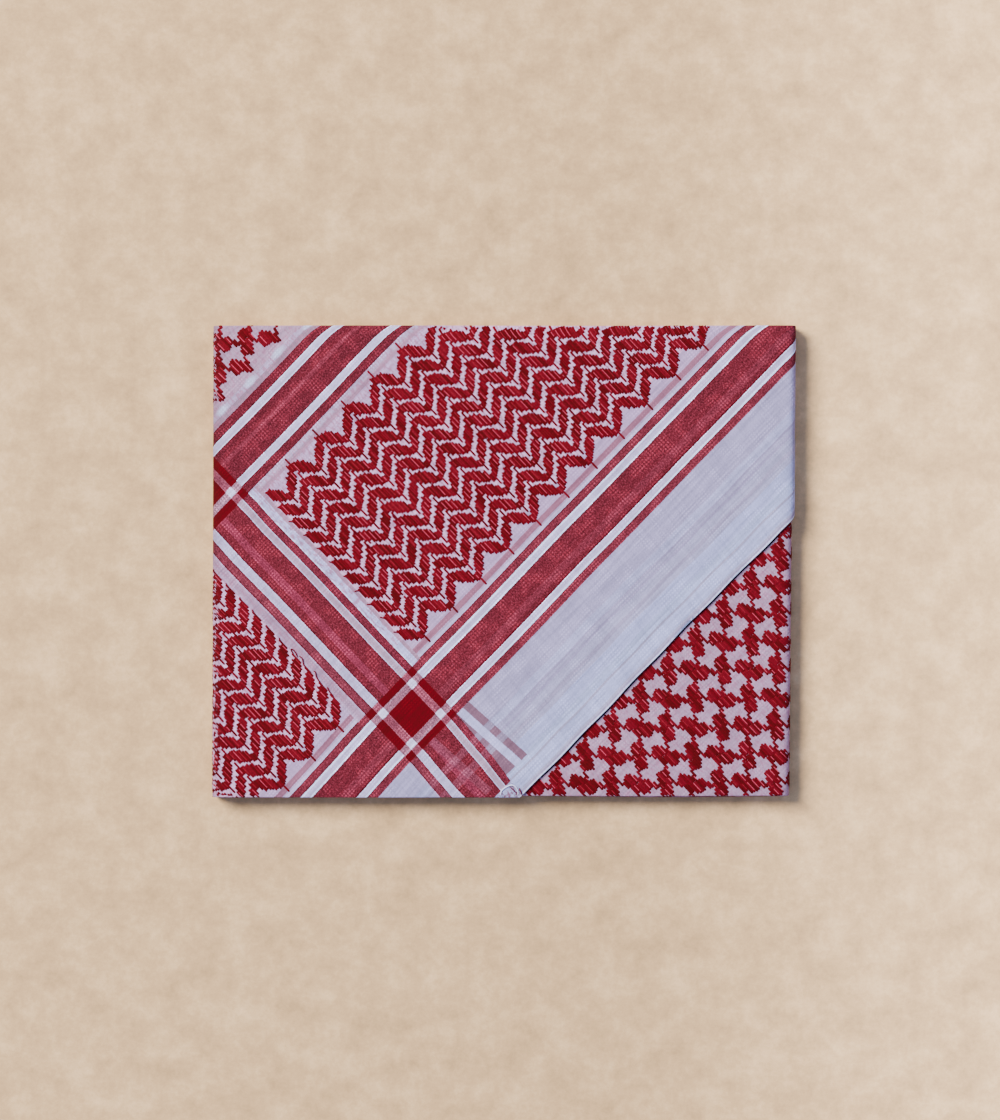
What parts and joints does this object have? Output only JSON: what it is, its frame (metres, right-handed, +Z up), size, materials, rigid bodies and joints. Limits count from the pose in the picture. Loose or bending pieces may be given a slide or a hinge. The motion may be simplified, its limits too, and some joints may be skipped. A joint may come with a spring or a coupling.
{
  "type": "folded keffiyeh headscarf",
  "caption": "Square red and white woven cotton headscarf, folded flat into a rectangular packet with its hemmed end across the top at a slant.",
  "frame": {"origin": "centre of the packet's underside, on the surface it lies on", "axes": "+X along the packet's longer side, +Y across it towards the far folded edge, +Z up through the stack of turns"},
  "size_m": [0.321, 0.2593, 0.0142],
  "materials": {
    "banded_cotton": "matt woven cotton, white with red bands and red chevron floats",
    "white_cotton": "matt plain-woven white cotton",
    "checked_cotton": "matt woven cotton, white ground with red checked floats",
    "folded_cotton": "matt folded cotton edges, red and white"
  },
  "bodies": {
    "root": {"outer_flap": "banded_cotton", "flap_hem": "white_cotton", "flap_tip": "white_cotton", "field_stretch": "checked_cotton", "underside_stretch": "checked_cotton", "hidden_folds": "folded_cotton"}
  },
  "joints": []
}
